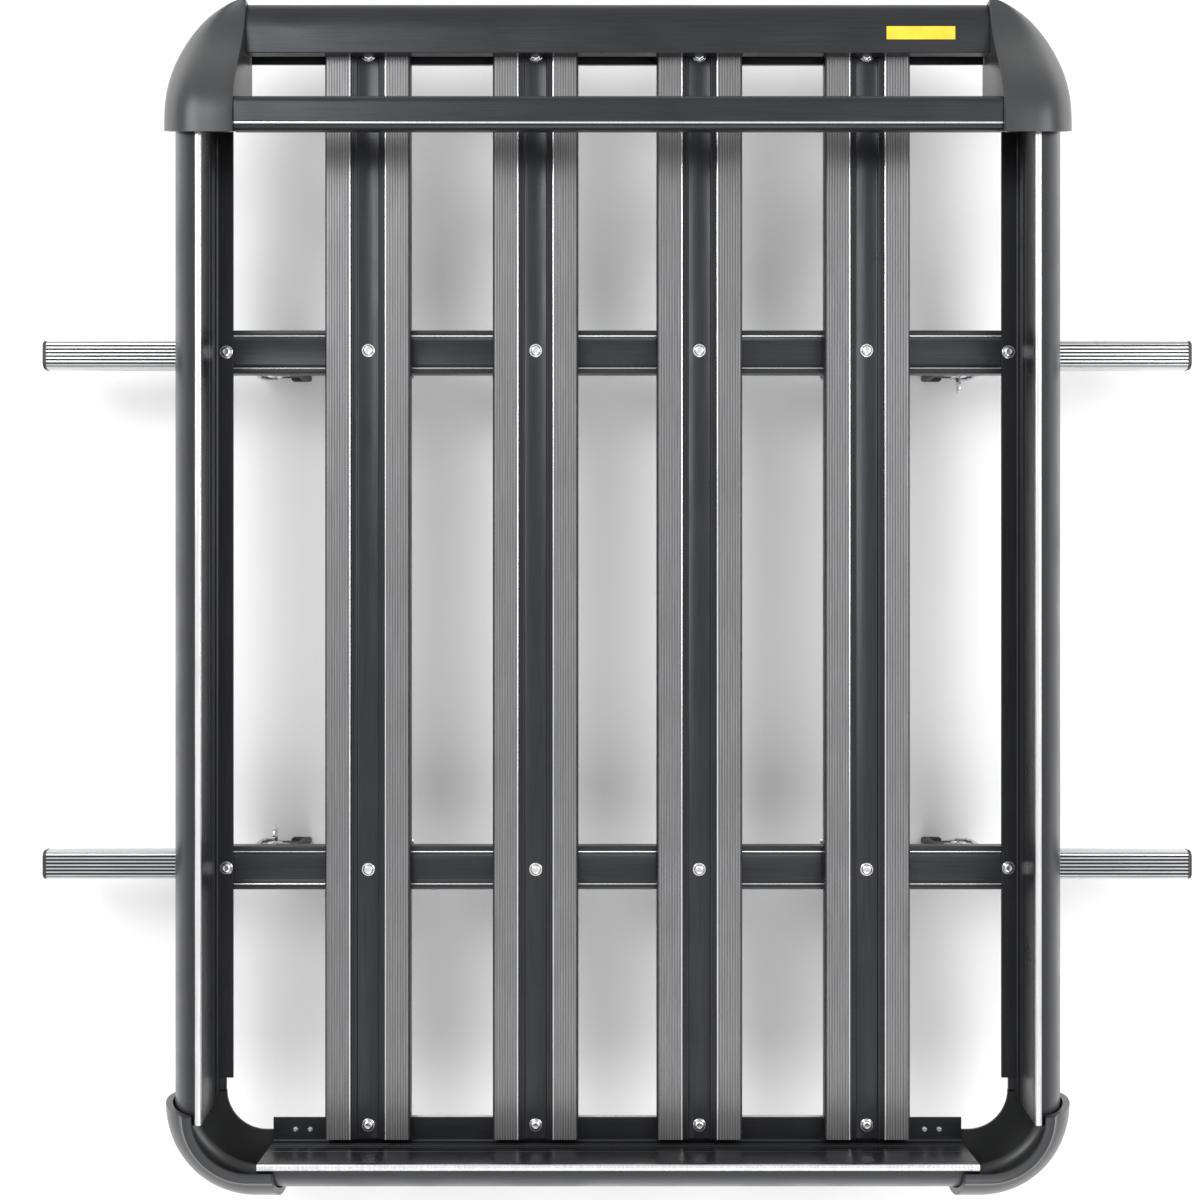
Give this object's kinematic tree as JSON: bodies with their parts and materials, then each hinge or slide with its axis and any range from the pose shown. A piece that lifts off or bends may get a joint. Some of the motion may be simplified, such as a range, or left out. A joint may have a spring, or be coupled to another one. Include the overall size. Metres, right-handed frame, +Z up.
{
  "type": "roof cargo basket",
  "caption": "Open aluminium roof basket with slatted deck, tall side rails, raked front corners and crossbars on lockable clamp feet.",
  "frame": {"origin": "ground plane under the middle of the basket, level with the bottoms of the feet", "axes": "+Y to the front of the vehicle, +X to the right seen from above with the front up, +Z up"},
  "size_m": [1.2566, 1.27, 0.21],
  "materials": {
    "black_aluminium": "satin black anodised aluminium extrusion",
    "bare_aluminium": "bright ribbed aluminium extrusion",
    "bright_steel": "polished stainless steel",
    "zinc_steel": "zinc plated steel",
    "black_plastic": "textured black plastic",
    "rubber": "matt black rubber",
    "label": "plain yellow film"
  },
  "bodies": {
    "basket": {"floor_slat_1": "black_aluminium", "floor_slat_2": "black_aluminium", "floor_slat_3": "black_aluminium", "floor_slat_4": "black_aluminium", "front_channel": "black_aluminium", "rear_channel": "black_aluminium", "front_bolt_row": "bright_steel", "front_channel_bolt_row": "bright_steel", "rear_channel_bolt_row": "bright_steel", "rear_bolt_row": "bright_steel", "rear_rail": "black_aluminium", "front_fairing": "black_aluminium", "upper_front_bar": "black_aluminium", "label": "label", "left_side_rail": "black_aluminium", "front_left_corner_shell": "black_aluminium", "rear_left_corner_elbow": "black_aluminium", "right_side_rail": "black_aluminium", "front_right_corner_shell": "black_aluminium", "rear_right_corner_elbow": "black_aluminium", "front_crossbar": "bare_aluminium", "front_left_bar_cap": "black_plastic", "front_left_u_bolt": "zinc_steel", "front_left_clamp_plate": "zinc_steel", "front_right_bar_cap": "black_plastic", "front_right_u_bolt": "zinc_steel", "front_right_clamp_plate": "zinc_steel", "rear_crossbar": "bare_aluminium", "rear_left_bar_cap": "black_plastic", "rear_left_u_bolt": "zinc_steel", "rear_left_clamp_plate": "zinc_steel", "rear_right_bar_cap": "black_plastic", "rear_right_u_bolt": "zinc_steel", "rear_right_clamp_plate": "zinc_steel"},
    "front_left_mounting_foot": {"front_left_foot": "black_plastic", "front_left_foot_pad": "rubber"},
    "front_left_jaw": {"front_left_clamp_jaw": "zinc_steel"},
    "front_left_screw": {"front_left_clamp_bolt": "bright_steel"},
    "front_left_lock": {"front_left_lock_barrel": "bright_steel"},
    "front_right_mounting_foot": {"front_right_foot": "black_plastic", "front_right_foot_pad": "rubber"},
    "front_right_jaw": {"front_right_clamp_jaw": "zinc_steel"},
    "front_right_screw": {"front_right_clamp_bolt": "bright_steel"},
    "front_right_lock": {"front_right_lock_barrel": "bright_steel"},
    "rear_left_mounting_foot": {"rear_left_foot": "black_plastic", "rear_left_foot_pad": "rubber"},
    "rear_left_jaw": {"rear_left_clamp_jaw": "zinc_steel"},
    "rear_left_screw": {"rear_left_clamp_bolt": "bright_steel"},
    "rear_left_lock": {"rear_left_lock_barrel": "bright_steel"},
    "rear_right_mounting_foot": {"rear_right_foot": "black_plastic", "rear_right_foot_pad": "rubber"},
    "rear_right_jaw": {"rear_right_clamp_jaw": "zinc_steel"},
    "rear_right_screw": {"rear_right_clamp_bolt": "bright_steel"},
    "rear_right_lock": {"rear_right_lock_barrel": "bright_steel"},
    "front_right_key_body": {"front_right_key": "bright_steel"},
    "rear_left_key_body": {"rear_left_key": "bright_steel"}
  },
  "joints": [
    {"name": "front_left_foot_slide", "type": "slide", "parent": "basket", "child": "front_left_mounting_foot", "axis": [-1, 0, 0], "range_m": [-0.06, 0.18]},
    {"name": "front_left_jaw_slide", "type": "slide", "parent": "front_left_mounting_foot", "child": "front_left_jaw", "axis": [-1, 0, 0], "range_m": [0, 0.012]},
    {"name": "front_left_screw_turn", "type": "hinge", "parent": "front_left_jaw", "child": "front_left_screw", "pos_m": [-0.38, 0.264, 0.049], "axis": [-1, 0, 0], "range_deg": [-1, 3460]},
    {"name": "front_left_lock_turn", "type": "hinge", "parent": "front_left_mounting_foot", "child": "front_left_lock", "pos_m": [-0.38, 0.246, 0.061], "axis": [0, -1, 0], "range_deg": [0, 90]},
    {"name": "front_right_foot_slide", "type": "slide", "parent": "basket", "child": "front_right_mounting_foot", "axis": [1, 0, 0], "range_m": [-0.06, 0.18]},
    {"name": "front_right_jaw_slide", "type": "slide", "parent": "front_right_mounting_foot", "child": "front_right_jaw", "axis": [1, 0, 0], "range_m": [0, 0.012]},
    {"name": "front_right_screw_turn", "type": "hinge", "parent": "front_right_jaw", "child": "front_right_screw", "pos_m": [0.38, 0.264, 0.049], "axis": [1, 0, 0], "range_deg": [-1, 3460]},
    {"name": "front_right_lock_turn", "type": "hinge", "parent": "front_right_mounting_foot", "child": "front_right_lock", "pos_m": [0.38, 0.246, 0.061], "axis": [0, -1, 0], "range_deg": [0, 90]},
    {"name": "rear_left_foot_slide", "type": "slide", "parent": "basket", "child": "rear_left_mounting_foot", "axis": [-1, 0, 0], "range_m": [-0.06, 0.18]},
    {"name": "rear_left_jaw_slide", "type": "slide", "parent": "rear_left_mounting_foot", "child": "rear_left_jaw", "axis": [-1, 0, 0], "range_m": [0, 0.012]},
    {"name": "rear_left_screw_turn", "type": "hinge", "parent": "rear_left_jaw", "child": "rear_left_screw", "pos_m": [-0.38, -0.294, 0.049], "axis": [-1, 0, 0], "range_deg": [-1, 3460]},
    {"name": "rear_left_lock_turn", "type": "hinge", "parent": "rear_left_mounting_foot", "child": "rear_left_lock", "pos_m": [-0.38, -0.276, 0.061], "axis": [0, 1, 0], "range_deg": [0, 90]},
    {"name": "rear_right_foot_slide", "type": "slide", "parent": "basket", "child": "rear_right_mounting_foot", "axis": [1, 0, 0], "range_m": [-0.06, 0.18]},
    {"name": "rear_right_jaw_slide", "type": "slide", "parent": "rear_right_mounting_foot", "child": "rear_right_jaw", "axis": [1, 0, 0], "range_m": [0, 0.012]},
    {"name": "rear_right_screw_turn", "type": "hinge", "parent": "rear_right_jaw", "child": "rear_right_screw", "pos_m": [0.38, -0.294, 0.049], "axis": [1, 0, 0], "range_deg": [-1, 3460]},
    {"name": "rear_right_lock_turn", "type": "hinge", "parent": "rear_right_mounting_foot", "child": "rear_right_lock", "pos_m": [0.38, -0.276, 0.061], "axis": [0, 1, 0], "range_deg": [0, 90]},
    {"name": "front_right_key_pull", "type": "slide", "parent": "front_right_lock", "child": "front_right_key_body", "axis": [0, -1, 0], "range_m": [0, 0.018]},
    {"name": "rear_left_key_pull", "type": "slide", "parent": "rear_left_lock", "child": "rear_left_key_body", "axis": [0, 1, 0], "range_m": [0, 0.018]}
  ],
  "couplings": [
    {"joint": "front_left_screw_turn", "follows": "front_left_jaw_slide", "rad_per_m": 5026.5},
    {"joint": "front_right_screw_turn", "follows": "front_right_jaw_slide", "rad_per_m": 5026.5},
    {"joint": "rear_left_screw_turn", "follows": "rear_left_jaw_slide", "rad_per_m": 5026.5},
    {"joint": "rear_right_screw_turn", "follows": "rear_right_jaw_slide", "rad_per_m": 5026.5}
  ]
}
